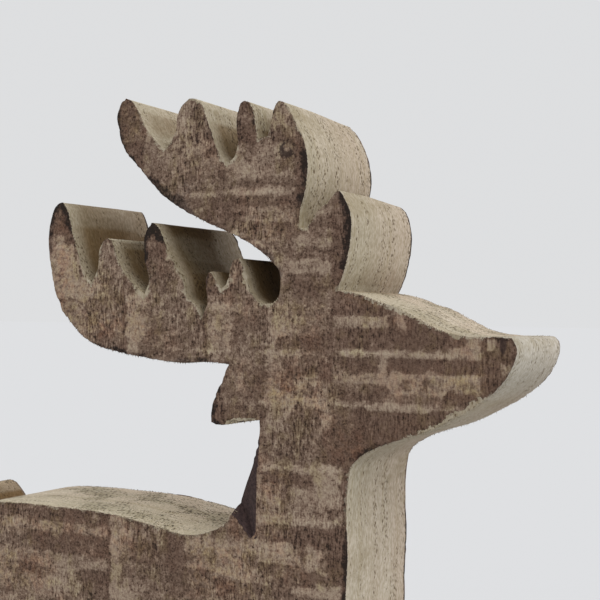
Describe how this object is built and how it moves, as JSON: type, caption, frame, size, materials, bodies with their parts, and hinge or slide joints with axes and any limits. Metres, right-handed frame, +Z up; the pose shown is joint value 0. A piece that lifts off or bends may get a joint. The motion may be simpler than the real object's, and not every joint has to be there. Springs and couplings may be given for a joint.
{
  "type": "reindeer figurine",
  "caption": "Standing reindeer with swept-back antlers, sawn as one thick silhouette from a rough plank, on a low strip of the same wood.",
  "frame": {"origin": "on the ground, under the middle of the figure's box", "axes": "+X towards the snout, +Y through the plank's thickness to the back face, +Z up"},
  "size_m": [0.198, 0.04, 0.2416],
  "materials": {
    "stained_wood": "rough-sawn faces with a patchy grey-brown stain, pale beige sawn edges, matt"
  },
  "bodies": {
    "root": {"reindeer": "stained_wood"}
  },
  "joints": []
}
